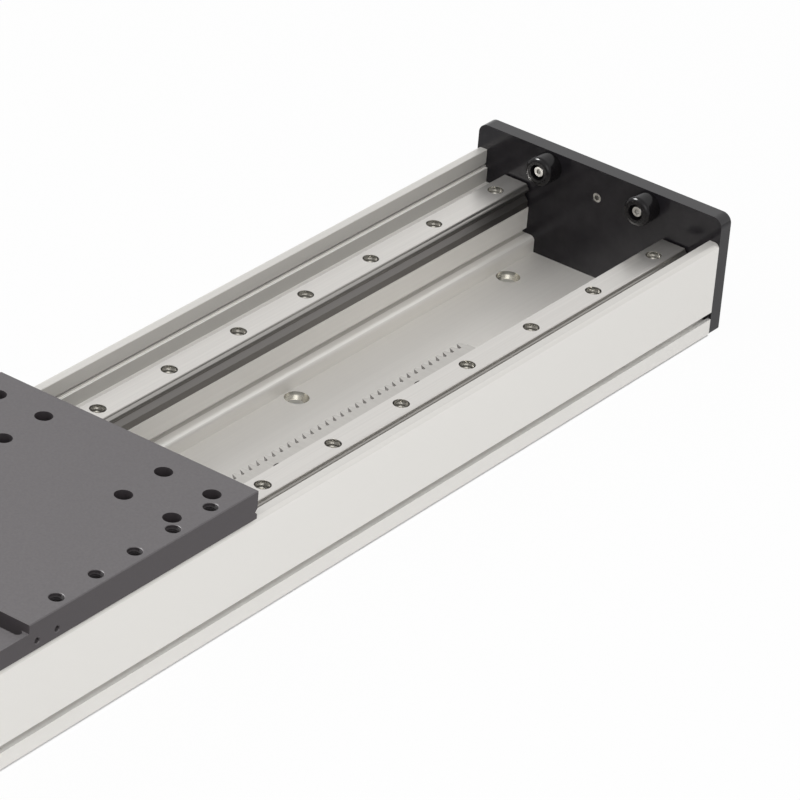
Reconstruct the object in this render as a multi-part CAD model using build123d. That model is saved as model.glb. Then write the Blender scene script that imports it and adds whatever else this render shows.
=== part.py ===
from build123d import *
import math
import os

os.makedirs("parts", exist_ok=True)

# Linear rail module: a trough-shaped aluminium profile with two guide rails and a helical
# rack in it, closed by an end plate at each end, and a carriage plate that rides on four
# guide blocks and is driven by a pinion. Millimetres, X along the rails, Y across, Z up.
# The origin is on the underside, below the middle of the profile.

# Guide rails
rail_spacing = 113.0
rail_width = 20.0
rail_height = 15.5
rail_top_width = 16.5
rail_waist_width = 15.2
rail_foot_chamfer = 0.5
rail_top_chamfer = 0.4
rail_pitch = 60.0
rail_hole_count = 16
rail_end_distance = 20.0
rail_end_gap = 1.5
rail_hole_diameter = 6.0
rail_counterbore_diameter = 9.5
rail_counterbore_depth = 8.5
rail_screw_length = 20.0
ball_track_radius = 1.6
ball_track_offset = 1.2

# Guide blocks
block_width = 42.0
block_height = 28.0
block_ground_clearance = 6.0
block_body_length = 48.0
block_cap_length = 8.0
block_seal_length = 2.5
block_hole_spacing = 32.0
block_hole_depth = 7.0
block_cap_setback = 0.5
block_foot_chamfer = 0.8
block_shoulder_drop = 2.0
block_shoulder_width = 1.5
block_running_gap = 0.35
cap_running_gap = 0.8
nipple_length = 9.0
nipple_base_diameter = 7.0
nipple_base_length = 3.0
nipple_neck_diameter = 4.4
nipple_head_diameter = 6.4
nipple_tip_diameter = 3.2

# Gear rack and pinion, module 2, 20 degree pressure angle, standard helix
gear_module = 2.0
helix_angle = 19.5283
pressure_angle = 20.0
gear_backlash = 0.3
rack_size = 24.0
rack_length = 609.0
rack_right_end = 312.0
rack_first_gap = 6.4
rack_screw_pitch = 125.0
rack_screw_count = 5
rack_screw_from_back = 9.0
rack_counterbore_depth = 7.0
rack_screw_length = 23.0
rack_thread_floor = 1.5
pinion_teeth = 25
pinion_lift = 0.5
pinion_bore = 16.0
pinion_recess_depth = 4.0
pinion_recess_diameter = 26.0

# Aluminium profile
floor_thickness = 6.0
rack_step_height = 3.5
rack_step_margin = 0.5
foot_step_width = 6.4
foot_step_height = 10.4
foot_groove_height = 3.4
foot_groove_depth = 2.6
shoulder_height = 5.2
block_side_clearance = 0.6
ledge_step = 1.4
ledge_below_top = 11.5
wall_groove_above_ledge = 1.3
wall_groove_height = 1.3
wall_groove_depth = 0.9
wall_thickness = 7.0
wall_corner_radius = 3.2
base_corner_radius = 1.0
profile_edge_radius = 0.4
slot_mouth = 4.4
slot_lip = 2.2
slot_cavity_depth = 4.6
slot_cavity_height = 8.6
slot_centre_height = 12.6
chamber_wall = 5.0
chamber_top_below_seat = 13.0
chamber_radius = 1.5
chamber_roof = 1.5
port_under_rail = 1.5
upper_port_below_seat = 6.5
lower_port_above_floor = 5.0
floor_hole_diameter = 9.0
floor_counterbore_diameter = 14.4
floor_counterbore_depth = 4.0
floor_hole_offset = 32.5
floor_hole_end_distance = 35.5
floor_hole_pitch = 200.0

# End plates and bumpers
plate_thickness = 10.0
plate_below_carriage_top = 2.5
plate_corner_radius = 6.0
plate_base_radius = 1.5
plate_counterbore_depth = 6.4
plate_screw_length = 18.0
bumper_diameter = 18.0
bumper_length = 12.0
bumper_edge_radius = 2.5
bumper_spacing = 70.0
bumper_below_plate_top = 10.0
bumper_screw_recess = 1.5
bumper_recess_diameter = 9.6
bumper_screw_length = 13.0
plug_below_plate_top = 18.0
plug_length = 8.0
plug_socket = 3.0
plug_socket_depth = 3.0
plug_setback = 0.5

# Carriage plate
carriage_length = 460.0
carriage_thickness = 17.0
carriage_overhang = 1.0
carriage_edge_chamfer = 0.5
wall_clearance = 1.0
carriage_rest_gap = 45.0
block_pocket_depth = 1.0
block_pocket_clearance = 0.3
block_inset = 36.0
block_counterbore_diameter = 10.0
block_counterbore_depth = 10.0
block_screw_length = 12.0
payload_hole_first = 30.0
payload_hole_pitch = 30.0
payload_hole_count = 5
payload_hole_edge = 7.7
payload_thread = 8.0
payload_countersink = 8.7
payload_relief_diameter = 9.0
payload_relief_depth = 0.5
recess_length = 102.0
recess_depth = 5.0
relief_slot_width = 5.0
relief_slot_depth = 4.0
relief_slot_end_wall = 3.0
end_groove_below_top = 12.2
end_groove_depth = 2.2
side_hole_core = 3.3
side_hole_countersink = 4.3
side_hole_depth = 9.0
side_hole_point = 0.9
side_hole_tip = 0.8
side_hole_spacing = 15.0
side_hole_from_recess = 6.5
side_hole_above_underside = 5.3

# Drive bearing unit
bearing_bore = 20.0
bearing_outside = 42.0
bearing_width = 12.0
bearing_ring_wall = 3.0
bearing_shield_thickness = 0.6
bearing_shield_gap = 0.4
bearing_gap = 6.0
housing_wall = 5.0
housing_lip = 2.0
housing_lip_opening = 30.0
housing_above_pinion = 6.0
housing_flange_side_gap = 3.0
housing_flange_thickness = 8.0
housing_flange_radius = 6.0
housing_screw_edge = 8.0
housing_screw_length = 16.0
housing_bore_clearance = 0.1
pilot_diameter = 50.0
pilot_depth = 3.5
motor_bolt_circle = 70.0
motor_thread_core = 4.2
motor_shaft_bore = 14.0
motor_bore_depth = 28.0
shaft_collar_diameter = 26.0
shaft_below_pilot = 1.0
circlip_thickness = 1.2
circlip_groove_depth = 1.2
circlip_reach = 2.4
circlip_play = 0.1
circlip_radial_play = 0.2
housing_circlip_opening = 8.0
shaft_circlip_opening = 6.0
key_width = 5.0
key_length = 16.0
key_depth = 3.0
key_height = 5.0
key_end_distance = 2.0
keyway_play = 0.2
washer_thickness = 2.5
washer_bore = 6.4
washer_side_gap = 0.5
pinion_screw_head = 10.5
pinion_screw_head_height = 2.4
pinion_screw_socket = 4.0
pinion_screw_socket_depth = 1.4
pinion_screw_length = 14.0
fit_gap = 0.02

# Socket head cap screws: thread, head diameter, head height, key size
cap_screws = {
    "M4": (4.0, 7.0, 4.0, 3.0),
    "M5": (5.0, 8.5, 5.0, 4.0),
    "M6": (6.0, 10.0, 6.0, 5.0),
}
screw_hole_clearance = 0.3
screw_head_chamfer = 0.5
thread_play = 0.1
port_diameter = cap_screws["M6"][0] + thread_play
bumper_head_seat = bumper_length - bumper_screw_recess - cap_screws["M4"][2]

# Heights that follow from the stack of floor, rack, rail, block and carriage
rack_bottom = floor_thickness + rack_step_height
seat_z = rack_bottom + rack_size
rail_top = seat_z + rail_height
block_top = seat_z + block_height
carriage_bottom = block_top - block_pocket_depth
carriage_top = carriage_bottom + carriage_thickness
wall_top = carriage_bottom - wall_clearance
plate_height = carriage_top - plate_below_carriage_top
bumper_z = plate_height - bumper_below_plate_top
plug_z = plate_height - plug_below_plate_top
recess_floor = carriage_top - recess_depth

# Widths, measured from the middle of the module
rail_y = rail_spacing / 2
pedestal_y = rail_y - rail_width / 2
shoulder_y = rail_y + rail_width / 2
lower_wall_y = rail_y + block_width / 2 + block_side_clearance
upper_wall_y = lower_wall_y + ledge_step
profile_half = upper_wall_y + wall_thickness
profile_width = 2 * profile_half
carriage_width = profile_width + 2 * carriage_overhang
ledge_z = wall_top - ledge_below_top
shoulder_z = seat_z + shoulder_height
foot_step_radius = foot_step_width / 2

# Lengths
rail_length = (rail_hole_count - 1) * rail_pitch + 2 * rail_end_distance
profile_length = rail_length + 2 * rail_end_gap
inner_plate_x = profile_length / 2
carriage_x = -inner_plate_x + bumper_length + carriage_rest_gap + carriage_length / 2
block_x = carriage_length / 2 - block_inset
block_length = block_body_length + 2 * (block_cap_length + block_seal_length)

# Gear geometry in the transverse plane
helix = math.radians(helix_angle)
transverse_module = gear_module / math.cos(helix)
transverse_pressure = math.atan(math.tan(math.radians(pressure_angle)) / math.cos(helix))
tooth_pitch = math.pi * transverse_module
pitch_radius = pinion_teeth * transverse_module / 2
tip_radius = pitch_radius + gear_module
root_radius = pitch_radius - 1.25 * gear_module
base_radius = pitch_radius * math.cos(transverse_pressure)
rack_back_y = -pedestal_y
rack_tip_y = rack_back_y + rack_size
rack_pitch_y = rack_tip_y - gear_module
pinion_y = rack_pitch_y + pitch_radius
pinion_bottom = rack_bottom + pinion_lift
pinion_width = rack_size
pinion_top = pinion_bottom + pinion_width

# Sizes and heights of the bearing unit
housing_flange_size = recess_length - 2 * housing_flange_side_gap
housing_screw_spacing = housing_flange_size - 2 * housing_screw_edge
housing_outside = bearing_outside + 2 * housing_wall
housing_bottom = pinion_top + housing_above_pinion
lower_bearing_z = housing_bottom + housing_lip
upper_bearing_z = lower_bearing_z + bearing_width + bearing_gap
bearing_stack_top = upper_bearing_z + bearing_width
flange_top = recess_floor + housing_flange_thickness
pilot_floor = flange_top - pilot_depth
shaft_top = pilot_floor - shaft_below_pilot
shaft_groove_diameter = bearing_bore - circlip_groove_depth

RIGHT_PLANE = Plane(origin=(0, 0, 0), x_dir=(0, 1, 0), z_dir=(1, 0, 0))
BOTTOM = (Align.CENTER, Align.CENTER, Align.MIN)
TOP = (Align.CENTER, Align.CENTER, Align.MAX)


def block(x0, x1, y0, y1, z0, z1):
    """A box between two corners."""
    middle = Pos((x0 + x1) / 2, (y0 + y1) / 2, (z0 + z1) / 2)
    return middle * Box(x1 - x0, y1 - y0, z1 - z0)


def along_x(section, x0, x1):
    """A section drawn in Y and Z, drawn out from x0 to x1."""
    return Pos(x0, 0, 0) * extrude(RIGHT_PLANE * section, amount=x1 - x0)


def rod_z(x, y, z0, z1, diameter):
    """An upright cylinder from z0 to z1."""
    return Pos(x, y, z0) * Cylinder(diameter / 2, z1 - z0, align=BOTTOM)


def outline(points):
    """A closed face through (y, z, corner radius) points."""
    corners = [(y, z) for y, z, radius in points]
    radii = [radius for y, z, radius in points]
    return make_face(FilletPolyline(*corners, radius=radii, close=True))


def ring(outside, inside, z0, z1):
    """An upright ring about the Z axis."""
    return rod_z(0, 0, z0, z1, outside) - rod_z(0, 0, z0, z1, inside)


def thread_hole(size):
    """The diameter of a threaded hole, with a little play instead of the thread."""
    return cap_screws[size][0] + thread_play


def screw_hole(size, depth, head_depth):
    """The hole for a cap screw, down from its seat, with the head's counterbore above it."""
    thread, head, _, _ = cap_screws[size]
    shank = Cylinder(thread / 2 + screw_hole_clearance, depth, align=TOP)
    pocket = Cylinder(head / 2 + screw_hole_clearance, head_depth, align=BOTTOM)
    return shank + pocket


def cap_screw(size, length):
    """A cap screw pointing down, with the underside of its head at the origin."""
    thread, head, height, socket = cap_screws[size]
    cap = Cylinder(head / 2, height, align=BOTTOM)
    cap = chamfer(cap.edges().sort_by(Axis.Z)[-1], screw_head_chamfer)
    hexagon = RegularPolygon(socket / 2, 6, major_radius=False)
    cap -= Pos(0, 0, height / 2) * extrude(hexagon, amount=height)
    return cap + Cylinder(thread / 2, length, align=TOP)


def group(solids):
    """Several separate solids kept in one node."""
    return Compound(children=[piece for solid in solids for piece in solid.solids()])


def rail_outline(gap=0.0):
    """The section of a guide rail standing on Z = 0, grown by a gap on every side."""
    top = rail_height + gap
    half = rail_width / 2 + gap
    top_half = rail_top_width / 2 + gap
    waist = rail_waist_width / 2 + gap
    nose_low, nose_high = rail_height * 0.71, rail_height * 0.8
    waist_low, waist_high = rail_height * 0.49, rail_height * 0.55
    side = [
        (half - rail_foot_chamfer, -gap),
        (half, rail_foot_chamfer - gap),
        (half, rail_height * 0.32 + gap),
        (waist, waist_low + gap / 2),
        (waist, waist_high - gap / 2),
        (half, nose_low - gap / 2),
        (half, nose_high + gap / 2),
        (top_half, top - rail_top_chamfer),
        (top_half - rail_top_chamfer, top),
    ]
    mirrored = [(-y, z) for y, z in reversed(side)]
    return make_face(Polyline(*(side + mirrored), close=True))


def ball_tracks():
    """The four round ball tracks along a rail, two on each flank above and below its nose."""
    half, waist = rail_width / 2, rail_waist_width / 2
    upper_y = (half + rail_top_width / 2) / 2
    upper_z = rail_height * 0.9
    lower_y = (half + waist) / 2
    lower_z = rail_height * 0.63
    lean = math.radians(35)
    reach = ball_track_offset * math.sqrt(0.5)
    upper = (upper_y + ball_track_offset * math.cos(lean), upper_z + ball_track_offset * math.sin(lean))
    lower = (lower_y + reach, lower_z - reach)
    tracks = Sketch()
    for side in (1, -1):
        for y, z in (upper, lower):
            tracks += Pos(side * y, z) * Circle(ball_track_radius)
    return tracks


def rail_hole_positions():
    first = -(rail_hole_count - 1) * rail_pitch / 2
    return [first + rail_pitch * index for index in range(rail_hole_count)]


def make_rail(y):
    """One guide rail with ball tracks along its flanks and a counterbored hole every pitch."""
    section = rail_outline() - ball_tracks()
    rail = along_x(section, -rail_length / 2, rail_length / 2)
    for x in rail_hole_positions():
        rail -= rod_z(x, 0, -1, rail_height + 1, rail_hole_diameter)
        counterbore_floor = rail_height - rail_counterbore_depth
        rail -= rod_z(x, 0, counterbore_floor, rail_height + 1, rail_counterbore_diameter)
    return Pos(0, y, seat_z) * rail


def make_rail_screws(y):
    head_seat = rail_top - rail_counterbore_depth
    screw = cap_screw("M5", rail_screw_length)
    return group([Pos(x, y, head_seat) * screw for x in rail_hole_positions()])


def profile_section():
    """The open trough: a floor, two pedestals that carry the rails, and two side walls."""
    groove_low = ledge_z + wall_groove_above_ledge
    groove_high = groove_low + wall_groove_height
    half = [
        (0, 0, 0),
        (profile_half, 0, base_corner_radius),
        (profile_half, wall_top, wall_corner_radius),
        (upper_wall_y, wall_top, profile_edge_radius),
        (upper_wall_y, groove_high, 0),
        (upper_wall_y + wall_groove_depth, groove_high, 0),
        (upper_wall_y + wall_groove_depth, groove_low, 0),
        (upper_wall_y, groove_low, 0),
        (upper_wall_y, ledge_z, 0),
        (lower_wall_y, ledge_z, profile_edge_radius),
        (lower_wall_y, shoulder_z, profile_edge_radius),
        (shoulder_y, shoulder_z, profile_edge_radius),
        (shoulder_y, seat_z, 0),
        (pedestal_y, seat_z, profile_edge_radius),
    ]
    step_top = floor_thickness + foot_step_height
    far_foot = [
        (pedestal_y, step_top + foot_groove_height, 0),
        (pedestal_y + foot_groove_depth, step_top + foot_groove_height, 0),
        (pedestal_y + foot_groove_depth, step_top, 0),
        (pedestal_y - foot_step_width, step_top, foot_step_radius),
        (pedestal_y - foot_step_width, floor_thickness, 0),
        (0, floor_thickness, 0),
    ]
    rack_step_y = pedestal_y - rack_size - rack_step_margin
    near_foot = [
        (pedestal_y, rack_bottom, 0),
        (rack_step_y, rack_bottom, profile_edge_radius),
        (rack_step_y, floor_thickness, 0),
        (0, floor_thickness, 0),
    ]
    far = outline(half + far_foot)
    near = outline([(-y, z, radius) for y, z, radius in half + near_foot])
    section = far + near
    for side in (1, -1):
        section -= side_voids(side)
    return section


def side_voids(side):
    """T-slot, screw ports and weight-saving chambers on one side of the profile."""
    cavity_y = profile_half - slot_lip - slot_cavity_depth / 2
    mouth_y = profile_half - slot_lip / 2
    voids = Pos(side * cavity_y, slot_centre_height) * Rectangle(slot_cavity_depth, slot_cavity_height)
    voids += Pos(side * mouth_y, slot_centre_height) * Rectangle(slot_lip + 1, slot_mouth)
    for y, z in port_centres():
        voids += Pos(side * y, z) * Circle(port_diameter / 2)
    inner = pedestal_y + chamber_wall
    outer = port_centres()[0][0] - port_diameter / 2 - chamber_wall * 0.6
    low, high = floor_thickness, seat_z - chamber_top_below_seat
    chamber = RectangleRounded(outer - inner, high - low, chamber_radius)
    voids += Pos(side * (inner + outer) / 2, (low + high) / 2) * chamber
    inner = port_centres()[0][0] + port_diameter / 2 + chamber_wall * 0.6
    outer = profile_half - chamber_wall
    low = slot_centre_height + slot_cavity_height / 2 + chamber_wall
    high = seat_z - chamber_roof
    chamber = RectangleRounded(outer - inner, high - low, chamber_radius)
    voids += Pos(side * (inner + outer) / 2, (low + high) / 2) * chamber
    return voids


def port_centres():
    """Screw ports for the end plate screws, one above the other outside the rail screws."""
    y = shoulder_y + port_diameter / 2 - port_under_rail
    return [(y, seat_z - upper_port_below_seat), (y, floor_thickness + lower_port_above_floor)]


def floor_hole_positions():
    """Fixing holes: a pair at each end, and single ones between them on the side that has no rack."""
    end = inner_plate_x - floor_hole_end_distance
    inner = end - floor_hole_pitch
    y = floor_hole_offset
    return [(-end, y), (end, y), (-end, -y), (end, -y), (-inner, y), (inner, y), (0, y)]


def make_profile():
    profile = along_x(profile_section(), -inner_plate_x, inner_plate_x)
    chamber_top = seat_z - chamber_top_below_seat
    for side in (1, -1):
        for x in rail_hole_positions():
            profile -= rod_z(x, side * rail_y, chamber_top - 1, seat_z + 1, thread_hole("M5"))
    for x, y in floor_hole_positions():
        top = rack_bottom if y < 0 else floor_thickness
        profile -= rod_z(x, y, -1, top + 1, floor_hole_diameter)
        profile -= rod_z(x, y, top - floor_counterbore_depth, top + 1, floor_counterbore_diameter)
    for x in rack_screw_positions():
        y = rack_back_y + rack_screw_from_back
        profile -= rod_z(x, y, rack_thread_floor, rack_bottom + 1, thread_hole("M6"))
    return profile


def rack_screw_positions():
    middle = rack_right_end - rack_length / 2
    first = middle - (rack_screw_count - 1) * rack_screw_pitch / 2
    return [first + rack_screw_pitch * index for index in range(rack_screw_count)]


def rack_gap_x(index, z):
    """Where the middle of a tooth gap lies at height z; the gaps lean along X with the helix."""
    at_top = rack_right_end - rack_first_gap - index * tooth_pitch
    return at_top + (seat_z - z) * math.tan(helix)


def make_rack():
    """Helical rack on its side: a toothed outline drawn out along the leaning tooth direction."""
    root_y = rack_pitch_y - 1.25 * gear_module
    slope = math.tan(transverse_pressure)
    half_at_pitch = tooth_pitch / 4 + gear_backlash / 4
    half_at_tip = half_at_pitch + gear_module * slope
    half_at_root = half_at_pitch - 1.25 * gear_module * slope
    lean = rack_size * math.tan(helix)
    left = rack_right_end - rack_length
    count = int((rack_length + 2 * lean) / tooth_pitch) + 2
    front = []
    for index in range(count, -3, -1):
        x = rack_gap_x(index, rack_bottom)
        front += [
            (x - half_at_tip, rack_tip_y),
            (x - half_at_root, root_y),
            (x + half_at_root, root_y),
            (x + half_at_tip, rack_tip_y),
        ]
    back = [(front[-1][0], rack_back_y), (front[0][0], rack_back_y)]
    toothed = Pos(0, 0, rack_bottom) * make_face(Polyline(*(front + back), close=True))
    direction = (-math.tan(helix), 0, 1)
    rack = extrude(toothed, amount=rack_size / math.cos(helix), dir=direction)
    rack &= block(left, rack_right_end, rack_back_y, rack_tip_y, rack_bottom, seat_z)
    hole = screw_hole("M6", rack_size, rack_counterbore_depth + 1)
    for x in rack_screw_positions():
        rack -= Pos(x, rack_back_y + rack_screw_from_back, seat_z - rack_counterbore_depth) * hole
    return rack


def make_rack_screws():
    screw = cap_screw("M6", rack_screw_length)
    y = rack_back_y + rack_screw_from_back
    head_seat = seat_z - rack_counterbore_depth
    return group([Pos(x, y, head_seat) * screw for x in rack_screw_positions()])


def make_end_plate(side):
    """End plate with counterbores for its screws outside and tapped holes for the bumpers."""
    face = outline([
        (-profile_half, 0, plate_base_radius),
        (profile_half, 0, plate_base_radius),
        (profile_half, plate_height, plate_corner_radius),
        (-profile_half, plate_height, plate_corner_radius),
    ])
    plate = along_x(face, 0, plate_thickness)
    hole = Rot(0, 90, 0) * screw_hole("M6", plate_thickness + 1, plate_counterbore_depth + 1)
    for y, z in plate_screw_positions():
        plate -= Pos(plate_thickness - plate_counterbore_depth, y, z) * hole
    core = Rot(0, 90, 0) * Cylinder(thread_hole("M4") / 2, plate_thickness - 1, align=BOTTOM)
    for y in (bumper_spacing / 2, -bumper_spacing / 2):
        plate -= Pos(-1, y, bumper_z) * core
    plug = Rot(0, 90, 0) * Cylinder(thread_hole("M6") / 2, plate_thickness + 2, align=BOTTOM)
    plate -= Pos(-1, 0, plug_z) * plug
    return turned_to(side, plate)


def plate_screw_positions():
    return [(side * y, z) for side in (1, -1) for y, z in port_centres()]


def turned_to(side, piece):
    """Moves a piece drawn outwards from X = 0 to the right or the left end of the profile."""
    if side > 0:
        return Pos(inner_plate_x, 0, 0) * piece
    return Pos(-inner_plate_x, 0, 0) * Rot(0, 0, 180) * piece


def make_plate_screws(side):
    screw = Rot(0, 90, 0) * cap_screw("M6", plate_screw_length)
    seat = plate_thickness - plate_counterbore_depth
    screws = [turned_to(side, Pos(seat, y, z) * screw) for y, z in plate_screw_positions()]
    return group(screws)


def make_bumper(side, row):
    """Rubber stop buffer: a short rounded cylinder with a sunk screw."""
    body = Cylinder(bumper_diameter / 2, bumper_length, align=BOTTOM)
    body = fillet(body.edges().sort_by(Axis.Z)[-1], bumper_edge_radius)
    shank_diameter = cap_screws["M4"][0] + 2 * screw_hole_clearance
    body -= rod_z(0, 0, -1, bumper_length, shank_diameter)
    body -= rod_z(0, 0, bumper_head_seat, bumper_length + 1, bumper_recess_diameter)
    body = Rot(0, -90, 0) * body
    return turned_to(side, Pos(0, row * side * bumper_spacing / 2, bumper_z) * body)


def make_bumper_screws(side):
    screw = Rot(0, -90, 0) * cap_screw("M4", bumper_screw_length)
    rows = (bumper_spacing / 2, -bumper_spacing / 2)
    return group([turned_to(side, Pos(-bumper_head_seat, y, bumper_z) * screw) for y in rows])


def make_plug_screw(side):
    """Socket set screw that closes the tapped hole in the middle of an end plate."""
    plug = Cylinder(cap_screws["M6"][0] / 2, plug_length, align=BOTTOM)
    socket = RegularPolygon(plug_socket / 2, 6, major_radius=False)
    plug -= Pos(0, 0, plug_length - plug_socket_depth) * extrude(socket, amount=plug_socket_depth + 1)
    plug = Rot(0, -90, 0) * plug
    return turned_to(side, Pos(plug_length + plug_setback, 0, plug_z) * plug)


def guide_block_outline(shrink=0.0):
    half = block_width / 2 - shrink
    low, high = block_ground_clearance, block_height - shrink
    side = [
        (half - block_foot_chamfer, low),
        (half, low + block_foot_chamfer),
        (half, high - block_shoulder_drop),
        (half - block_shoulder_width, high),
    ]
    mirrored = [(-y, z) for y, z in reversed(side)]
    return make_face(Polyline(*(side + mirrored), close=True))


def block_hole_positions():
    half = block_hole_spacing / 2
    return [(x, y) for x in (half, -half) for y in (half, -half)]


def make_block_body():
    """Steel body that grips the rail below its nose, with ball tracks facing the rail's own."""
    section = guide_block_outline() - rail_outline(block_running_gap) - ball_tracks()
    body = along_x(section, -block_body_length / 2, block_body_length / 2)
    for x, y in block_hole_positions():
        body -= rod_z(x, y, block_height - block_hole_depth, block_height + 1, thread_hole("M5"))
    return body


def make_end_caps():
    """The two moulded caps that turn the balls round at the ends of a block."""
    section = guide_block_outline(block_cap_setback) - rail_outline(cap_running_gap)
    start = block_body_length / 2
    cap = along_x(section, start, start + block_cap_length)
    return group([cap, Rot(0, 0, 180) * cap])


def make_end_seals():
    """The two wiper seals outside the end caps."""
    section = guide_block_outline(2 * block_cap_setback) - rail_outline(block_running_gap)
    start = block_body_length / 2 + block_cap_length
    seal = along_x(section, start, start + block_seal_length)
    return group([seal, Rot(0, 0, 180) * seal])


def make_grease_nipple(inward):
    """Ball-end grease nipple on the end of the block that faces the middle of the carriage."""
    neck_length = (nipple_length - nipple_base_length) / 3
    head_start = nipple_base_length + neck_length
    half_outline = [
        (0, 0),
        (nipple_base_diameter / 2, 0),
        (nipple_base_diameter / 2, nipple_base_length),
        (nipple_neck_diameter / 2, nipple_base_length),
        (nipple_neck_diameter / 2, head_start),
        (nipple_head_diameter / 2, head_start + neck_length / 2),
        (nipple_head_diameter / 2, head_start + neck_length),
        (nipple_tip_diameter / 2, nipple_length),
        (0, nipple_length),
    ]
    nipple = revolve(Plane.XZ * make_face(Polyline(*half_outline, close=True)), Axis.Z)
    height = (rail_height + block_height) / 2
    return Pos(inward * block_length / 2, 0, height) * Rot(0, inward * 90, 0) * nipple


def make_block_screws():
    """Four screws from the carriage's counterbores down into one block."""
    seat = carriage_top - block_counterbore_depth - seat_z
    screw = cap_screw("M5", block_screw_length)
    return group([Pos(x, y, seat) * screw for x, y in block_hole_positions()])


def block_positions():
    """Name, place and the way to the carriage's middle for each guide block."""
    places = []
    for end, x in (("right", block_x), ("left", -block_x)):
        for row, y in (("near", -rail_y), ("far", rail_y)):
            places.append((row + "_" + end, Pos(carriage_x + x, y, seat_z), -1 if x > 0 else 1))
    return places


def make_carriage():
    """Carriage plate with its block counterbores, payload threads and drive recess.

    The payload threads are relieved from below, so that a screw in them ends clear of the blocks.
    """
    plate = Box(carriage_length, carriage_width, carriage_thickness, align=BOTTOM)
    plate = Pos(0, 0, carriage_bottom) * chamfer(plate.edges(), carriage_edge_chamfer)
    recess = Box(recess_length, carriage_width + 2, recess_depth + 1, align=BOTTOM)
    plate -= Pos(0, 0, recess_floor) * recess
    slot_length = carriage_width - 2 * relief_slot_end_wall
    slot = extrude(SlotOverall(slot_length, relief_slot_width), amount=relief_slot_depth + 1)
    for side in (1, -1):
        x = side * (recess_length - relief_slot_width) / 2
        plate -= Pos(x, 0, recess_floor - relief_slot_depth) * Rot(0, 0, 90) * slot
    pocket = Box(
        block_length + 2 * block_pocket_clearance,
        block_width + 2 * block_pocket_clearance,
        block_pocket_depth + 1,
        align=TOP,
    )
    block_hole = screw_hole("M5", carriage_thickness, 1)
    head_pocket = Cylinder(block_counterbore_diameter / 2, block_counterbore_depth + 1, align=BOTTOM)
    for side in (1, -1):
        for y in (rail_y, -rail_y):
            plate -= Pos(side * block_x, y, block_top) * pocket
            for dx, dy in block_hole_positions():
                seat = Pos(side * block_x + dx, y + dy, carriage_top - block_counterbore_depth)
                plate -= seat * (block_hole + head_pocket)
    payload_hole = payload_thread + thread_play
    for x, y in payload_hole_positions():
        plate -= rod_z(x, y, carriage_bottom - 1, carriage_top + 1, payload_hole)
        relief_top = block_top + payload_relief_depth
        plate -= rod_z(x, y, carriage_bottom - 1, relief_top, payload_relief_diameter)
        plate -= Pos(x, y, carriage_top) * countersink(payload_hole, payload_countersink)
    plate -= end_grooves()
    plate -= side_holes()
    housing_bore = housing_outside + 2 * housing_bore_clearance
    plate -= rod_z(0, pinion_y, carriage_bottom - 1, carriage_top, housing_bore)
    for dx, dy in housing_screw_positions():
        plate -= rod_z(dx, pinion_y + dy, carriage_bottom - 1, carriage_top, thread_hole("M6"))
    return Pos(carriage_x, 0, 0) * plate


def countersink(core, mouth):
    depth = (mouth - core) / 2
    return Cone(core / 2, mouth / 2, depth, align=TOP)


def payload_hole_positions():
    """Threaded holes along both long edges, counted from both ends of the carriage."""
    first = carriage_length / 2 - payload_hole_first
    xs = [first - payload_hole_pitch * index for index in range(payload_hole_count)]
    y = carriage_width / 2 - payload_hole_edge
    return [(side * x, row * y) for x in xs for side in (1, -1) for row in (1, -1)]


def end_grooves():
    """A shallow V groove across each end face."""
    z = carriage_top - end_groove_below_top
    end = carriage_length / 2
    depth = end_groove_depth
    grooves = Part()
    for side in (1, -1):
        tip, mouth = side * (end - depth), side * (end + depth)
        triangle = make_face(Polyline((tip, z), (mouth, z - 2 * depth), (mouth, z + 2 * depth), close=True))
        grooves += extrude(Plane.XZ * triangle, amount=carriage_width / 2 + 1, both=True)
    return grooves


def side_holes():
    """Pairs of small threaded holes in the long side faces, each ending in a blunt drill point."""
    z = carriage_bottom + side_hole_above_underside
    core = Cylinder(side_hole_core / 2, side_hole_depth, align=TOP)
    point = Cone(side_hole_tip / 2, side_hole_core / 2, side_hole_point, align=TOP)
    core += Pos(0, 0, -side_hole_depth) * point
    core += countersink(side_hole_core, side_hole_countersink)
    holes = Part()
    start = recess_length / 2 + side_hole_from_recess
    for x in (start, start + side_hole_spacing):
        for end in (1, -1):
            holes += Pos(end * x, carriage_width / 2, z) * Rot(-90, 0, 0) * core
            holes += Pos(end * x, -carriage_width / 2, z) * Rot(90, 0, 0) * core
    return holes


def housing_screw_positions():
    half = housing_screw_spacing / 2
    return [(x, y) for x in (half, -half) for y in (half, -half)]


def on_drive_axis(piece):
    """Moves a piece drawn about the Z axis to the pinion's axis."""
    return Pos(carriage_x, pinion_y, 0) * piece


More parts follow.
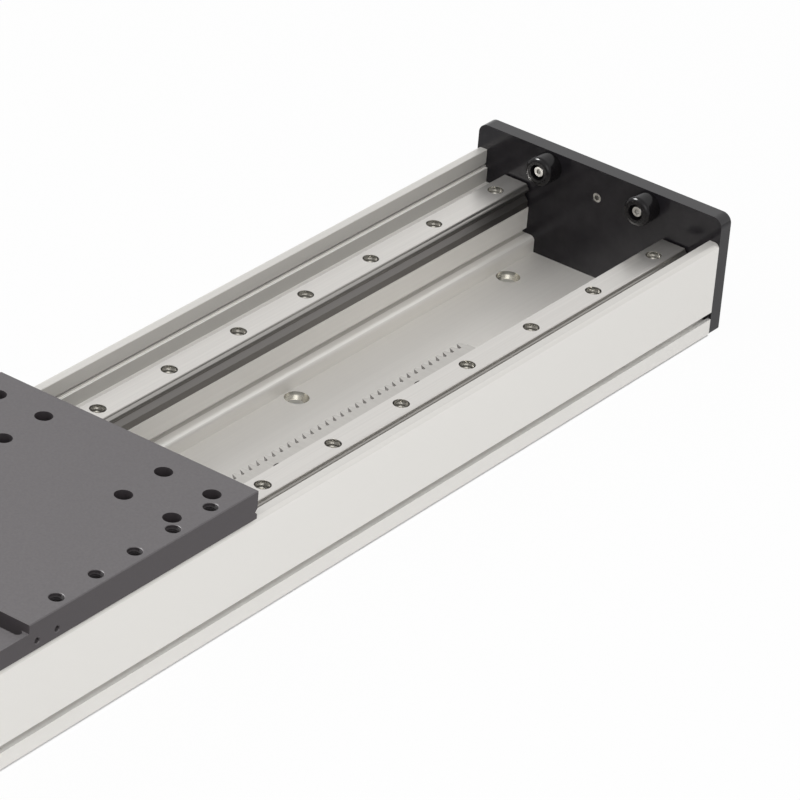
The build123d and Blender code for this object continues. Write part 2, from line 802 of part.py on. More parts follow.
def make_housing():
    """Flanged bearing housing that hangs through the carriage, with a motor pilot on top."""
    square = RectangleRounded(housing_flange_size, housing_flange_size, housing_flange_radius)
    body = Pos(0, 0, recess_floor) * extrude(square, amount=housing_flange_thickness)
    body += rod_z(0, 0, housing_bottom, recess_floor, housing_outside)
    body -= rod_z(0, 0, housing_bottom - 1, pilot_floor, housing_lip_opening)
    body -= rod_z(0, 0, lower_bearing_z, pilot_floor + 1, bearing_outside + 2 * fit_gap)
    groove = bearing_outside + 2 * circlip_groove_depth
    groove_top = bearing_stack_top + circlip_thickness + circlip_play
    body -= rod_z(0, 0, bearing_stack_top, groove_top, groove)
    body -= rod_z(0, 0, pilot_floor, flange_top + 1, pilot_diameter)
    screw_clearance = cap_screws["M6"][0] + 2 * screw_hole_clearance
    for x, y in housing_screw_positions():
        body -= rod_z(x, y, recess_floor - 1, flange_top + 1, screw_clearance)
    for index in range(4):
        angle = math.radians(45 + 90 * index)
        x, y = motor_bolt_circle / 2 * math.cos(angle), motor_bolt_circle / 2 * math.sin(angle)
        body -= rod_z(x, y, recess_floor - 1, flange_top + 1, motor_thread_core)
    return on_drive_axis(body)


def make_housing_screws():
    screw = cap_screw("M6", housing_screw_length)
    return group([on_drive_axis(Pos(x, y, flange_top) * screw) for x, y in housing_screw_positions()])


def make_outer_ring(z):
    """Outer ring of a shielded bearing, with the two shields pressed into it."""
    inner_edge = bearing_bore + 2 * (bearing_ring_wall + bearing_shield_gap)
    shield = ring(bearing_outside - bearing_ring_wall, inner_edge, 0, bearing_shield_thickness)
    body = ring(bearing_outside, bearing_outside - 2 * bearing_ring_wall, 0, bearing_width)
    lift = bearing_width - bearing_shield_thickness
    return on_drive_axis(Pos(0, 0, z) * (body + shield + Pos(0, 0, lift) * shield))


def make_inner_ring(z):
    return on_drive_axis(ring(bearing_bore + 2 * bearing_ring_wall, bearing_bore, z, z + bearing_width))


def open_ring(outside, inside, z0, z1, opening):
    """A snap ring: a flat ring with a gap in it."""
    whole = ring(outside, inside, z0, z1)
    return whole - block(0, outside, -opening / 2, opening / 2, z0 - 1, z1 + 1)


def make_housing_circlip():
    outside = bearing_outside + 2 * (circlip_groove_depth - circlip_radial_play)
    inside = outside - 2 * circlip_reach
    z = bearing_stack_top
    return on_drive_axis(open_ring(outside, inside, z, z + circlip_thickness, housing_circlip_opening))


def make_shaft_circlip():
    inside = shaft_groove_diameter + circlip_radial_play
    outside = inside + 2 * circlip_reach
    z = bearing_stack_top
    return on_drive_axis(open_ring(outside, inside, z, z + circlip_thickness, shaft_circlip_opening))


def make_shaft():
    """Stepped shaft: pinion seat, collar under the lower bearing, bearing seats, motor bore."""
    seat_bottom = pinion_bottom + pinion_recess_depth
    shaft = rod_z(0, 0, seat_bottom, pinion_top, pinion_bore - 2 * fit_gap)
    shaft += rod_z(0, 0, pinion_top, lower_bearing_z, shaft_collar_diameter)
    shaft += rod_z(0, 0, lower_bearing_z, shaft_top, bearing_bore - 2 * fit_gap)
    shaft -= rod_z(0, 0, shaft_top - motor_bore_depth, shaft_top + 1, motor_shaft_bore)
    groove_top = bearing_stack_top + circlip_thickness + circlip_play
    shaft -= ring(bearing_bore + 2, shaft_groove_diameter, bearing_stack_top, groove_top)
    shaft -= rod_z(0, 0, seat_bottom - 1, seat_bottom + pinion_screw_length, thread_hole("M6"))
    shaft -= key_space(key_width, key_length)
    return on_drive_axis(shaft)


def key_space(width, length):
    """The key's slot in the shaft, open downwards past the shaft's end."""
    depth_line = pinion_bore / 2 - key_depth
    middle = pinion_top - key_end_distance - length / 2
    return block(-width / 2, width / 2, depth_line, pinion_bore, middle - length / 2, middle + length / 2)


def make_key():
    depth_line = pinion_bore / 2 - key_depth + fit_gap
    half = key_width / 2 - fit_gap
    top = pinion_top - key_end_distance - fit_gap
    low = top - key_length + 2 * fit_gap
    return on_drive_axis(block(-half, half, depth_line, depth_line + key_height, low, top))


def tooth_half_angle(radius):
    """Half the angle that a pinion tooth fills at a radius, from its involute flank."""
    at_pitch = (tooth_pitch / 2 - gear_backlash / 2) / (2 * pitch_radius)
    angle = math.acos(min(1.0, base_radius / radius))
    involute = math.tan(angle) - angle
    start = math.tan(transverse_pressure) - transverse_pressure
    return at_pitch + start - involute


def make_pinion():
    """Helical pinion whose teeth stand in the rack's gaps on its near side."""
    radii = [root_radius, base_radius, (base_radius + tip_radius) / 2, tip_radius]
    angles = [tooth_half_angle(max(radius, base_radius)) for radius in radii]
    index = round((rack_gap_x(0, pinion_bottom) - carriage_x) / tooth_pitch)
    offset = rack_gap_x(index, pinion_bottom) - carriage_x
    first = -math.pi / 2 + offset / pitch_radius
    points = []
    for tooth in range(pinion_teeth):
        centre = first + 2 * math.pi * tooth / pinion_teeth
        rising = [(radius, centre - angle) for radius, angle in zip(radii, angles)]
        falling = [(radius, 2 * centre - angle) for radius, angle in reversed(rising)]
        points += [(r * math.cos(a), r * math.sin(a)) for r, a in rising + falling]
    section = make_face(Polyline(*points, close=True))
    twist = -math.degrees(pinion_width * math.tan(helix) / pitch_radius)
    gear = Solid.extrude_linear_with_rotation(section.face(), (0, 0, 0), (0, 0, pinion_width), twist)
    gear = Part() + Pos(0, 0, pinion_bottom) * gear
    gear -= rod_z(0, 0, pinion_bottom - 1, pinion_top + 1, pinion_bore)
    gear -= rod_z(0, 0, pinion_bottom - 1, pinion_bottom + pinion_recess_depth, pinion_recess_diameter)
    keyway = pinion_bore / 2 - key_depth + key_height + keyway_play
    gear -= block(-key_width / 2, key_width / 2, 0, keyway, pinion_bottom, pinion_top + 1)
    return on_drive_axis(gear)


def make_pinion_washer():
    top = pinion_bottom + pinion_recess_depth
    outside = pinion_recess_diameter - 2 * washer_side_gap
    return on_drive_axis(ring(outside, washer_bore, top - washer_thickness, top))


def make_pinion_screw():
    """Low head screw that pulls the washer and pinion up against the shaft's collar."""
    seat = pinion_bottom + pinion_recess_depth - washer_thickness
    bottom = seat - pinion_screw_head_height
    head = rod_z(0, 0, bottom, seat, pinion_screw_head)
    socket = RegularPolygon(pinion_screw_socket / 2, 6, major_radius=False)
    head -= Pos(0, 0, bottom - 1) * extrude(socket, amount=pinion_screw_socket_depth + 1)
    thread = cap_screws["M6"][0]
    return on_drive_axis(head + rod_z(0, 0, seat, seat + pinion_screw_length, thread))


def save(name, piece):
    """Writes one named piece and prints how many solids it has."""
    piece.label = name
    export_step(piece, os.path.join("parts", name + ".step"))
    print(name, len(piece.solids()))


save("base_profile", make_profile())
for row, y in (("near", -rail_y), ("far", rail_y)):
    save("guide_rail_" + row, make_rail(y))
    save("rail_screws_" + row, make_rail_screws(y))
save("gear_rack", make_rack())
save("rack_screws", make_rack_screws())
for end, side in (("right", 1), ("left", -1)):
    save("end_plate_" + end, make_end_plate(side))
    save("end_plate_screws_" + end, make_plate_screws(side))
    save("bumper_near_" + end, make_bumper(side, -1))
    save("bumper_far_" + end, make_bumper(side, 1))
    save("bumper_screws_" + end, make_bumper_screws(side))
    save("plug_screw_" + end, make_plug_screw(side))

save("carriage_plate", make_carriage())
body, caps, seals, screws = make_block_body(), make_end_caps(), make_end_seals(), make_block_screws()
for name, place, inward in block_positions():
    save("block_body_" + name, place * body)
    save("block_end_caps_" + name, place * caps)
    save("block_seals_" + name, place * seals)
    save("grease_nipple_" + name, place * make_grease_nipple(inward))
    save("block_screws_" + name, place * screws)

save("drive_housing", make_housing())
save("housing_screws", make_housing_screws())
save("lower_bearing_outer_ring", make_outer_ring(lower_bearing_z))
save("upper_bearing_outer_ring", make_outer_ring(upper_bearing_z))
spacer_low = lower_bearing_z + bearing_width
outer_spacer = ring(bearing_outside, bearing_outside - 2 * bearing_ring_wall, spacer_low, upper_bearing_z)
save("outer_spacer", on_drive_axis(outer_spacer))
save("housing_circlip", make_housing_circlip())

save("drive_pinion", make_pinion())
save("pinion_shaft", make_shaft())
save("pinion_key", make_key())
save("pinion_washer", make_pinion_washer())
save("pinion_screw", make_pinion_screw())
save("lower_bearing_inner_ring", make_inner_ring(lower_bearing_z))
save("upper_bearing_inner_ring", make_inner_ring(upper_bearing_z))
inner_spacer = ring(bearing_bore + 2 * bearing_ring_wall, bearing_bore, spacer_low, upper_bearing_z)
save("inner_spacer", on_drive_axis(inner_spacer))
save("shaft_circlip", make_shaft_circlip())
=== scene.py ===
import math

import bpy
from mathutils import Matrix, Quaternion, Vector


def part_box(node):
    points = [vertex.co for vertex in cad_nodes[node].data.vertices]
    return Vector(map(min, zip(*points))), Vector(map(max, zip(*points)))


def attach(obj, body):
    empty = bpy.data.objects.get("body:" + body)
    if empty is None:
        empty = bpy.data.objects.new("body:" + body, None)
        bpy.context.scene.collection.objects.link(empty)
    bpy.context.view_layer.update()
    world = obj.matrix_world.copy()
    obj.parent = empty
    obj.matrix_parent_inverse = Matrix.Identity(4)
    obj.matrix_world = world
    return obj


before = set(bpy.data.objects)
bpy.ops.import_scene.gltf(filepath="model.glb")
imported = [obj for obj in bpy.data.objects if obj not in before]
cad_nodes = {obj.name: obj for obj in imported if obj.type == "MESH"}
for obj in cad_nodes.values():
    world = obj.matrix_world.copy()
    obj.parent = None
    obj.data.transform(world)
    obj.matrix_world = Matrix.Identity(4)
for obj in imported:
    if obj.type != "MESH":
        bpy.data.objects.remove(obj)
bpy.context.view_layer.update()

# The view of the photograph.
# A long lens looks down on the module from its near left, with the end plate farthest away.
# The camera leans a little, so the upright edges lean with it.
camera_place = Vector((-1.74391, -1.41373, 1.40015))
camera_aim = Vector((0.1132, -0.1228, 0.1176))
camera_roll = math.radians(4.977)

camera_data = bpy.data.cameras.new("photo_camera")
camera_data.lens = 227.92
camera_data.sensor_width = 36.0
camera_data.clip_end = 50.0
camera = bpy.data.objects.new("photo_camera", camera_data)
bpy.context.scene.collection.objects.link(camera)
level_view = (camera_aim - camera_place).to_track_quat("-Z", "Y")
camera.rotation_mode = "QUATERNION"
camera.rotation_quaternion = level_view @ Quaternion((0, 0, 1), camera_roll)
camera.location = camera_place
bpy.context.scene.camera = camera
bpy.context.scene.view_settings.view_transform = "Standard"

# The table: a white top, just under the module's feet.
# It looks plain white to the camera and in the reflections of the metal, and still takes the
# module's soft shadow. It stays dark where the module covers it.
table_reach = 4.0
table_drop = 0.0005
table_whiteness = 0.85
table_roughness = 0.9
shadow_share = 0.04
pure_white = (1.0, 1.0, 1.0, 1.0)


def add_node(tree, kind, **values):
    """Adds a shader node beside the last one and sets its sockets and settings by name."""
    node = tree.nodes.new(kind)
    node.location = (-200 * len(tree.nodes), 0)
    for name, value in values.items():
        socket = node.inputs.get(name.replace("_", " "))
        if socket is not None:
            socket.default_value = value
        else:
            setattr(node, name, value)
    return node


def combine(tree, operation, first, second):
    """A maths node on two values, each of them a socket or a number."""
    node = add_node(tree, "ShaderNodeMath", operation=operation)
    for socket, value in zip(node.inputs, (first, second)):
        if isinstance(value, (int, float)):
            socket.default_value = value
        else:
            tree.links.new(value, socket)
    return node.outputs[0]


def near_value(tree, value, middle, reach):
    """A factor of one where a value lies within a reach of a middle."""
    node = add_node(tree, "ShaderNodeMath", operation="COMPARE")
    tree.links.new(value, node.inputs[0])
    node.inputs[1].default_value = middle
    node.inputs[2].default_value = reach
    return node.outputs[0]


def split_axes(tree, source):
    """The X, Y and Z of one output of the texture coordinates."""
    where = add_node(tree, "ShaderNodeTexCoord")
    axes = add_node(tree, "ShaderNodeSeparateXYZ")
    tree.links.new(where.outputs[source], axes.inputs[0])
    return axes.outputs


def seen_directly(tree):
    """A factor of one for camera, glossy and transmission rays."""
    rays = add_node(tree, "ShaderNodeLightPath").outputs
    either = combine(tree, "MAXIMUM", rays["Is Camera Ray"], rays["Is Glossy Ray"])
    return combine(tree, "MAXIMUM", either, rays["Is Transmission Ray"])


def mix_shaders(tree, factor, plain, bright, output):
    """Leads a mix of two shaders to an output node."""
    mix = add_node(tree, "ShaderNodeMixShader")
    for source, socket in zip((factor, plain, bright), mix.inputs):
        tree.links.new(source, socket)
    tree.links.new(mix.outputs[0], tree.nodes[output].inputs["Surface"])


bpy.ops.object.select_all(action="DESELECT")
bpy.ops.mesh.primitive_plane_add(size=2 * table_reach, location=(0, 0, -table_drop))
table = bpy.context.object
table.name = "studio_table"
bpy.ops.object.transform_apply(location=True, rotation=True, scale=True)
table_finish = bpy.data.materials.new("table_white")
table_finish.use_nodes = True
tree = table_finish.node_tree
table_shader = tree.nodes["Principled BSDF"]
table_shader.inputs["Base Color"].default_value = (table_whiteness,) * 3 + (1.0,)
table_shader.inputs["Roughness"].default_value = table_roughness
table_glow = add_node(tree, "ShaderNodeEmission", Color=pure_white, Strength=1.0)
table_axes = split_axes(tree, "Object")
profile_low, profile_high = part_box("base_profile")
covered_along = near_value(tree, table_axes["X"], 0.0, profile_high[0])
covered_across = near_value(tree, table_axes["Y"], 0.0, profile_high[1])
covered = combine(tree, "MULTIPLY", covered_along, covered_across)
seen_share = combine(tree, "MULTIPLY", seen_directly(tree), 1.0 - shadow_share)
glow_share = combine(tree, "SUBTRACT", seen_share, covered)
glow_share.node.use_clamp = True
mix_shaders(tree, glow_share, table_shader.outputs[0], table_glow.outputs[0], "Material Output")
table.data.materials.append(table_finish)

# The surround: a white room, seen by the camera and in the metal.
# The light it sheds is softer than it looks, and comes more from above than from the sides.
surround_strength = 0.74
side_light = (0.5, 0.5, 0.5, 1.0)
full_light_height = 0.6

world = bpy.data.worlds.new("studio_surround")
bpy.context.scene.world = world
world.use_nodes = True
tree = world.node_tree
white_surround = tree.nodes["Background"]
white_surround.inputs["Color"].default_value = pure_white
soft_surround = add_node(tree, "ShaderNodeBackground", Strength=surround_strength)
height_ramp = add_node(tree, "ShaderNodeValToRGB")
level_stop, high_stop = height_ramp.color_ramp.elements
level_stop.position = 0.0
level_stop.color = side_light
high_stop.position = full_light_height
high_stop.color = pure_white
tree.links.new(split_axes(tree, "Generated")["Z"], height_ramp.inputs[0])
tree.links.new(height_ramp.outputs[0], soft_surround.inputs["Color"])
mix_shaders(
    tree, seen_directly(tree), soft_surround.outputs[0], white_surround.outputs[0], "World Output"
)

# The lamps: three square soft boxes that face the middle of the module.
# The key stands on the camera's side and a small one beyond the far wall. The third is seen
# only in glossy surfaces, where it draws the bright edges of bores and screws.
module_middle = (0.1, 0.0, 0.04)


def add_lamp(name, place, size, watts):
    """A square soft box that faces the middle of the module."""
    lamp = bpy.data.lights.new(name, "AREA")
    lamp.shape = "SQUARE"
    lamp.size = size
    lamp.energy = watts
    holder = bpy.data.objects.new(name, lamp)
    holder.location = place
    aim = Vector(module_middle) - Vector(place)
    holder.rotation_euler = aim.to_track_quat("-Z", "Y").to_euler()
    bpy.context.scene.collection.objects.link(holder)
    return holder


add_lamp("key_softbox", place=(-1.0, -1.2, 1.0), size=1.2, watts=9.0)
add_lamp("far_side_lamp", place=(-0.7, 1.6, 1.3), size=0.22, watts=3.0)
glint_softbox = add_lamp("glint_softbox", place=(-0.50, 1.52, 1.7), size=0.8, watts=130.0)
glint_softbox.visible_diffuse = False

# Base profile: one length of extruded aluminium, sawn, drilled and clear anodised.
# Extruding leaves fine lines along it, and the anodised skin is satin and slightly warm.
# Painted light and shade: the outer faces, the shoulders, the ledges, the side slots and the foot
# steps are painted lighter, and the wall tops, the inner walls and the grooves darker.


def metal_finish(name, dark, light, metallic, roughness, spread, scale, bump):
    """A finish with fine marks: its two tones, its roughness with a spread, and their relief."""
    finish = bpy.data.materials.new(name)
    finish.use_nodes = True
    tree = finish.node_tree
    shader = tree.nodes["Principled BSDF"]
    shader.inputs["Metallic"].default_value = metallic
    where = add_node(tree, "ShaderNodeTexCoord")
    stretch = add_node(tree, "ShaderNodeMapping", Scale=scale)
    tree.links.new(where.outputs["Object"], stretch.inputs["Vector"])
    marks = add_node(tree, "ShaderNodeTexNoise", Scale=1.0, Detail=4.0, Roughness=0.6)
    tree.links.new(stretch.outputs["Vector"], marks.inputs["Vector"])
    tones = add_node(tree, "ShaderNodeValToRGB")
    dark_stop, light_stop = tones.color_ramp.elements
    dark_stop.position = 0.3
    dark_stop.color = dark + (1.0,)
    light_stop.position = 0.7
    light_stop.color = light + (1.0,)
    tree.links.new(marks.outputs["Fac"], tones.inputs[0])
    tree.links.new(tones.outputs[0], shader.inputs["Base Color"])
    wear = add_node(tree, "ShaderNodeMapRange", To_Min=roughness - spread, To_Max=roughness + spread)
    tree.links.new(marks.outputs["Fac"], wear.inputs["Value"])
    tree.links.new(wear.outputs[0], shader.inputs["Roughness"])
    relief = add_node(tree, "ShaderNodeBump", Strength=bump, Distance=0.0001)
    tree.links.new(marks.outputs["Fac"], relief.inputs["Height"])
    tree.links.new(relief.outputs[0], shader.inputs["Normal"])
    return finish


def dress(finish, *names):
    """Gives CAD nodes one finish on all their faces."""
    for name in names:
        mesh = cad_nodes[name].data
        mesh.materials.clear()
        mesh.materials.append(finish)


def in_band(tree, axis, band):
    """A factor of one where the distance from the frame's middle along an axis is in a band."""
    low, high = band
    along = split_axes(tree, "Object")[axis]
    distance = add_node(tree, "ShaderNodeMath", operation="ABSOLUTE")
    tree.links.new(along, distance.inputs[0])
    return near_value(tree, distance.outputs[0], (low + high) / 2, (high - low) / 2)


def in_place(tree, place):
    """A factor of one inside a pair of bands, across and up."""
    across, up = place
    return combine(tree, "MULTIPLY", in_band(tree, "Y", across), in_band(tree, "Z", up))


def paint(tree, factor, colour):
    """Lays a plain colour over the finish where a factor is one."""
    colour_socket = tree.nodes["Principled BSDF"].inputs["Base Color"]
    mix = add_node(tree, "ShaderNodeMix", data_type="RGBA")
    under, over, mixed = mix.inputs[6], mix.inputs[7], mix.outputs[2]
    over.default_value = colour + (1.0,)
    tree.links.new(factor, mix.inputs["Factor"])
    tree.links.new(colour_socket.links[0].from_socket, under)
    tree.links.new(mixed, colour_socket)


def polish(tree, factor, name, value):
    """Sets another value of a shader's socket where a factor is one."""
    socket = tree.nodes["Principled BSDF"].inputs[name]
    mix = add_node(tree, "ShaderNodeMix", data_type="FLOAT")
    under, over, mixed = mix.inputs[2], mix.inputs[3], mix.outputs[0]
    under.default_value = socket.default_value
    over.default_value = value
    tree.links.new(factor, mix.inputs["Factor"])
    if socket.is_linked:
        tree.links.new(socket.links[0].from_socket, under)
    tree.links.new(mixed, socket)


profile_finish = metal_finish(
    "clear_anodised_extrusion",
    dark=(0.750, 0.730, 0.695),
    light=(0.780, 0.760, 0.724),
    metallic=0.3,
    roughness=0.42,
    spread=0.04,
    scale=(3, 500, 500),
    bump=0.04,
)
outer_width = profile_high[1]
profile_top = profile_high[2]
foot_side = 0.0465
foot_step_height = 0.0164
shoulder_height = 0.0387
ledge_height = 0.0480
upper_wall_side = 0.0795
wall_chamfer = 0.0004
hair = 0.0002
outer_face = ((outer_width - hair, outer_width + hair), (0.0, profile_top))
wall_top = ((0.0780, outer_width), (profile_top - hair, profile_top + hair))
shoulder = ((0.0665, 0.0780), (shoulder_height - hair, shoulder_height + hair))
lower_wall = ((0.0770, 0.0790), (shoulder_height + hair, ledge_height - hair))
ledge = ((0.0770, upper_wall_side + hair), (ledge_height - hair, ledge_height + hair))
upper_wall = (
    (upper_wall_side - hair, upper_wall_side + hair),
    (ledge_height + hair, profile_top - wall_chamfer),
)
side_slot = ((0.0800, outer_width - hair), (0.0, 0.0240))
foot_step = ((0.0400, foot_side + hair), (0.0155, foot_step_height + hair))
foot_groove = ((foot_side + hair, 0.0495), (0.0160, 0.0200))
wall_groove = ((upper_wall_side + hair, 0.0806), (0.0490, 0.0508))
floor_hole = ((0.0, 0.0400), (0.0, 0.0060 - hair))
tree = profile_finish.node_tree
# Painted light and shade, place by place: the lighter tones stand in for light, the darker ones for
# shade.
for place, tone in (
    (outer_face, (0.84, 0.822, 0.787)),
    (wall_top, (0.68, 0.662, 0.630)),
    (shoulder, (0.98, 0.962, 0.925)),
    (lower_wall, (0.54, 0.525, 0.50)),
    (ledge, (0.92, 0.90, 0.865)),
    (upper_wall, (0.57, 0.555, 0.528)),
    (side_slot, (0.93, 0.92, 0.90)),
    (foot_step, (0.87, 0.852, 0.815)),
    (foot_groove, (0.62, 0.600, 0.568)),
    (wall_groove, (0.42, 0.408, 0.387)),
):
    paint(tree, in_place(tree, place), tone)
bored_floor = in_place(tree, floor_hole)
paint(tree, bored_floor, (0.66, 0.645, 0.60))
polish(tree, bored_floor, "Metallic", 1.0)
polish(tree, bored_floor, "Roughness", 0.26)
dress(profile_finish, "base_profile")

# Guide rails: hardened steel, drawn to shape, then ground bright on the top and raceways.
# The grinding marks run along them, and below the top edge they are painted darker, as painted
# shade: the raceways a step darker, the band between the neck and the nose darkest, and the flanks
# below it a little lighter.
rail_nose_height = 0.0461
rail_neck_height = 0.0443
edge_chamfer = 0.0004
counterbore_reach = 0.0055
rail_low, rail_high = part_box("guide_rail_near")
rail_top = rail_high[2]
rail_middle = abs(rail_low[1] + rail_high[1]) / 2
raceway_grey = (0.36, 0.348, 0.33)
nose_grey = (0.15, 0.143, 0.136)
lower_flank_shade = (0.178, 0.169, 0.160)
counterbore_shade = (0.34, 0.33, 0.31)
rail_finish = metal_finish(
    "ground_rail_steel",
    dark=(0.60, 0.582, 0.556),
    light=(0.66, 0.64, 0.612),
    metallic=0.85,
    roughness=0.3,
    spread=0.04,
    scale=(4, 900, 900),
    bump=0.05,
)
tree = rail_finish.node_tree
# Painted shade down the flanks, in three steps.
paint(tree, in_band(tree, "Z", (0.0, rail_top - edge_chamfer)), raceway_grey)
paint(tree, in_band(tree, "Z", (0.0, rail_nose_height)), nose_grey)
paint(tree, in_band(tree, "Z", (0.0, rail_neck_height)), lower_flank_shade)
# Painted shade in the counterbores along the rail's middle, lighter than the painted shade of the
# flanks.
hole_widths = (rail_middle - counterbore_reach, rail_middle + counterbore_reach)
in_rail_hole = in_place(tree, (hole_widths, (0.0, rail_top - hair)))
paint(tree, in_rail_hole, counterbore_shade)
polish(tree, in_rail_hole, "Roughness", 0.2)
dress(rail_finish, "guide_rail_near", "guide_rail_far")

# Rail and rack screws: socket head screws of rolled steel, zinc plated.
# Their heads are sunk in counterbores, one every 60 mm along the rails.
plated_finish = metal_finish(
    "plated_screw_steel",
    dark=(0.62, 0.605, 0.57),
    light=(0.86, 0.85, 0.81),
    metallic=1.0,
    roughness=0.18,
    spread=0.05,
    scale=(600, 600, 600),
    bump=0.2,
)
dress(plated_finish, "rail_screws_near", "rail_screws_far", "rack_screws")

# Gear rack: a milled steel bar with ground helical teeth, screwed down beside the near rail.
# The top is milled bright. Its upright faces, the teeth's flanks and the sides, are painted near
# black, as painted shade of the tooth gaps.
tooth_gap_shade = (0.085, 0.08, 0.076)


def upright_faces(tree, lean=0.4):
    """A factor of one on faces that stand upright or lean less than a limit."""
    return near_value(tree, split_axes(tree, "Normal")["Z"], 0.0, lean)


rack_finish = metal_finish(
    "milled_rack_steel",
    dark=(0.48, 0.463, 0.437),
    light=(0.53, 0.513, 0.485),
    metallic=0.6,
    roughness=0.38,
    spread=0.05,
    scale=(400, 60, 60),
    bump=0.06,
)
tree = rack_finish.node_tree
# Painted shade: the upright faces near black.
paint(tree, upright_faces(tree), tooth_gap_shade)
dress(rack_finish, "gear_rack")

# End plates: sawn aluminium plate with a deep, glossy black anodised skin.
# Each closes one end of the profile, held by black screws in the profile's screw ports.
top_shine = 0.44
side_shine = 0.2


def set_shine(finish, level):
    """Sets how strongly a finish mirrors on all faces, where a half is plain."""
    shader = finish.node_tree.nodes["Principled BSDF"]
    shader.inputs["Specular IOR Level"].default_value = level


plate_finish = metal_finish(
    "gloss_black_anodised",
    dark=(0.012, 0.011, 0.013),
    light=(0.018, 0.0165, 0.019),
    metallic=0.0,
    roughness=0.16,
    spread=0.03,
    scale=(90, 90, 90),
    bump=0.02,
)
set_shine(plate_finish, top_shine)
tree = plate_finish.node_tree
polish(tree, upright_faces(tree), "Specular IOR Level", side_shine)
dress(plate_finish, "end_plate_right", "end_plate_left")
black_screw_finish = metal_finish(
    "black_oxide_steel",
    dark=(0.03, 0.03, 0.032),
    light=(0.055, 0.054, 0.056),
    metallic=0.8,
    roughness=0.34,
    spread=0.06,
    scale=(500, 500, 500),
    bump=0.2,
)
dress(black_screw_finish, "end_plate_screws_right", "end_plate_screws_left")

# Buffers: moulded black rubber, two on the inner face of each end plate.
# A bright socket head screw sits deep in each one, and a plug screw between the two.
rubber_shine = 0.22
rubber_finish = metal_finish(
    "moulded_black_rubber",
    dark=(0.006, 0.0055, 0.006),
    light=(0.011, 0.010, 0.011),
    metallic=0.0,
    roughness=0.2,
    spread=0.02,
    scale=(900, 900, 900),
    bump=0.03,
)
set_shine(rubber_finish, rubber_shine)
stop_screw_finish = metal_finish(
    "bright_socket_steel",
    dark=(0.32, 0.315, 0.30),
    light=(0.56, 0.55, 0.53),
    metallic=1.0,
    roughness=0.22,
    spread=0.06,
    scale=(600, 600, 600),
    bump=0.2,
)
for end in ("right", "left"):
    dress(rubber_finish, "bumper_near_" + end, "bumper_far_" + end)
    dress(stop_screw_finish, "bumper_screws_" + end, "plug_screw_" + end)

# Guide blocks: a ground steel body between two moulded caps with wiper seals.
# Four screws from the carriage hold each one, and a grease nipple faces inwards.
block_finish = metal_finish(
    "ground_block_steel",
    dark=(0.50, 0.50, 0.49),
    light=(0.60, 0.60, 0.59),
    metallic=1.0,
    roughness=0.28,
    spread=0.05,
    scale=(30, 900, 900),
    bump=0.15,
)
cap_finish = metal_finish(
    "moulded_black_cap",
    dark=(0.018, 0.018, 0.019),
    light=(0.030, 0.030, 0.031),
    metallic=0.0,
    roughness=0.48,
    spread=0.06,
    scale=(1200, 1200, 1200),
    bump=0.25,
)
for corner in ("near_right", "far_right", "near_left", "far_left"):
    dress(block_finish, "block_body_" + corner)
    dress(cap_finish, "block_end_caps_" + corner)
    dress(rubber_finish, "block_seals_" + corner)
    dress(plated_finish, "grease_nipple_" + corner)
    dress(black_screw_finish, "block_screws_" + corner)

# Carriage plate: milled aluminium with a matt, dark grey anodised skin.
# Its upright sides are painted darker than the top, as painted shade.
# The drive's housing stands in its lowered band and has the same skin.
painted_side_shade = (0.056, 0.048, 0.052)
carriage_finish = metal_finish(
    "dark_grey_anodised",
    dark=(0.104, 0.096, 0.100),
    light=(0.128, 0.118, 0.123),
    metallic=0.2,
    roughness=0.5,
    spread=0.05,
    scale=(700, 700, 700),
    bump=0.12,
)
tree = carriage_finish.node_tree
# Painted shade on the upright faces of the plate and of the drive's housing.
paint(tree, upright_faces(tree), painted_side_shade)
dress(carriage_finish, "carriage_plate", "drive_housing")

# Threads of the payload holes: M8, cut in the plate, 1.25 mm to the turn.
# The holes in the plate are as wide as the roots of the thread, so each ridge winds inwards
# from the wall, between the countersink above and the relief below.
thread_pitch = 0.00125
thread_turns = 11
thread_steps = 20
thread_root = 0.00407
thread_depth = 0.00072
thread_width = 0.0011
thread_low = 0.0621
thread_shine = 0.06
hole_pitch = 0.030
hole_from_edge = 0.0077
holes_at_an_end = 5
# Painted shade: the ridges are painted darker than the plate's top, as the shade deep in the holes.
thread_finish = metal_finish(
    "shaded_thread_aluminium",
    dark=(0.040, 0.036, 0.038),
    light=(0.062, 0.056, 0.059),
    metallic=0.0,
    roughness=0.6,
    spread=0.05,
    scale=(900, 900, 900),
    bump=0.1,
)
set_shine(thread_finish, thread_shine)

# One ridge: a three-sided section that points at the axis, wound up the hole and closed.
rim = thread_depth / 1.5
rim_side = rim * math.sqrt(3)
rim_middle = (thread_root - rim / 2, 0, thread_low + thread_width / 2)
bpy.ops.object.select_all(action="DESELECT")
bpy.ops.mesh.primitive_circle_add(
    vertices=3, radius=rim, location=rim_middle, rotation=(math.pi / 2, -math.pi / 2, 0)
)
thread = bpy.context.object
bpy.ops.object.transform_apply(location=True, rotation=True, scale=True)
bpy.ops.object.mode_set(mode="EDIT")
bpy.ops.mesh.select_all(action="SELECT")
bpy.ops.transform.resize(value=(1, 1, thread_width / rim_side), center_override=rim_middle)
bpy.ops.object.mode_set(mode="OBJECT")
winding = thread.modifiers.new("winding", "SCREW")
winding.axis = "Z"
winding.angle = 2 * math.pi
winding.screw_offset = thread_pitch
winding.iterations = thread_turns
winding.steps = thread_steps
winding.render_steps = thread_steps
bpy.ops.object.modifier_apply(modifier="winding")
bpy.ops.object.mode_set(mode="EDIT")
bpy.ops.mesh.select_all(action="SELECT")
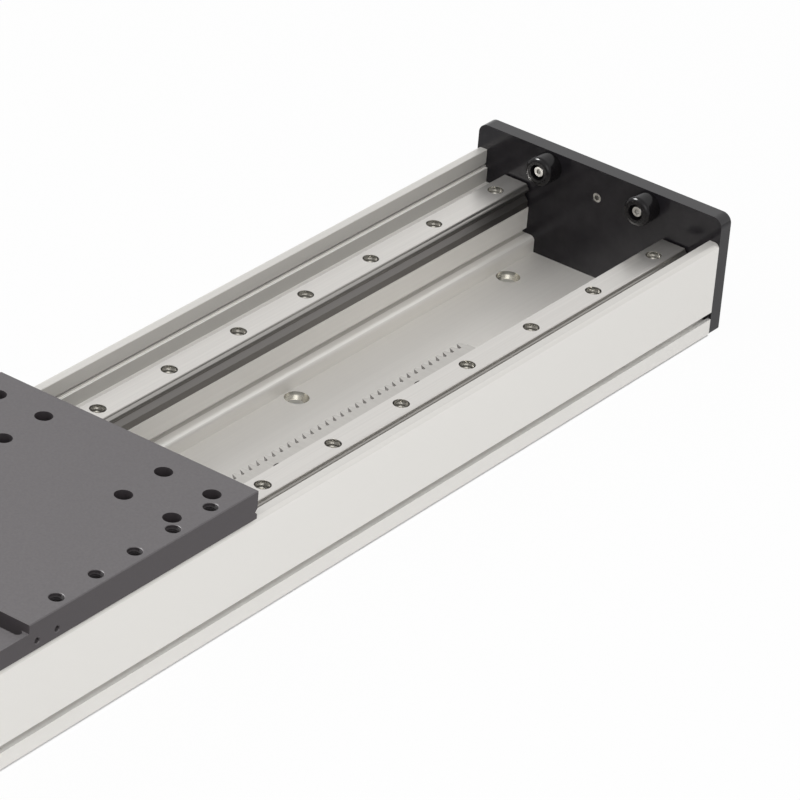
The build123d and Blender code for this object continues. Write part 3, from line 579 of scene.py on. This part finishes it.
bpy.ops.mesh.remove_doubles(threshold=0.000001)
bpy.ops.mesh.select_all(action="DESELECT")
bpy.ops.mesh.select_non_manifold()
bpy.ops.mesh.fill_holes(sides=3)
bpy.ops.mesh.select_all(action="SELECT")
bpy.ops.mesh.normals_make_consistent(inside=False)
bpy.ops.object.mode_set(mode="OBJECT")

# Its copies: five holes at each end of both long edges of the plate.
plate_low, plate_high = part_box("carriage_plate")
row_offset = plate_high[1] - hole_from_edge
ridges = []
for index in range(holes_at_an_end):
    inset = hole_pitch * (index + 1)
    for x in (plate_low[0] + inset, plate_high[0] - inset):
        for y in (row_offset, -row_offset):
            ridge = thread.copy()
            ridge.data = thread.data.copy()
            ridge.location = (x, y, 0)
            bpy.context.scene.collection.objects.link(ridge)
            ridges.append(ridge)
bpy.data.objects.remove(thread)
bpy.ops.object.select_all(action="DESELECT")
for ridge in ridges:
    ridge.select_set(True)
bpy.context.view_layer.objects.active = ridges[0]
bpy.ops.object.join()
payload_threads = bpy.context.object
payload_threads.name = "payload_thread_ridges"
bpy.ops.object.transform_apply(location=True, rotation=True, scale=True)
bpy.ops.object.shade_smooth_by_angle(angle=math.radians(40))
payload_threads.data.materials.clear()
payload_threads.data.materials.append(thread_finish)
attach(payload_threads, "carriage")

# Drive: a turned steel shaft with a keyed helical pinion, in two ball bearings.
# Spacers and snap rings hold the bearings in the housing, which screws hold to the plate.
turned_finish = metal_finish(
    "turned_bearing_steel",
    dark=(0.54, 0.54, 0.54),
    light=(0.66, 0.66, 0.66),
    metallic=1.0,
    roughness=0.22,
    spread=0.05,
    scale=(400, 400, 1500),
    bump=0.12,
)
dress(black_screw_finish, "housing_screws", "pinion_screw", "housing_circlip", "shaft_circlip")
dress(turned_finish, "lower_bearing_outer_ring", "upper_bearing_outer_ring", "outer_spacer")
dress(turned_finish, "lower_bearing_inner_ring", "upper_bearing_inner_ring", "inner_spacer")
dress(turned_finish, "pinion_shaft", "pinion_key", "pinion_washer")
# The pinion takes the rack's finish, its upright faces painted near black as painted shade too.
dress(rack_finish, "drive_pinion")
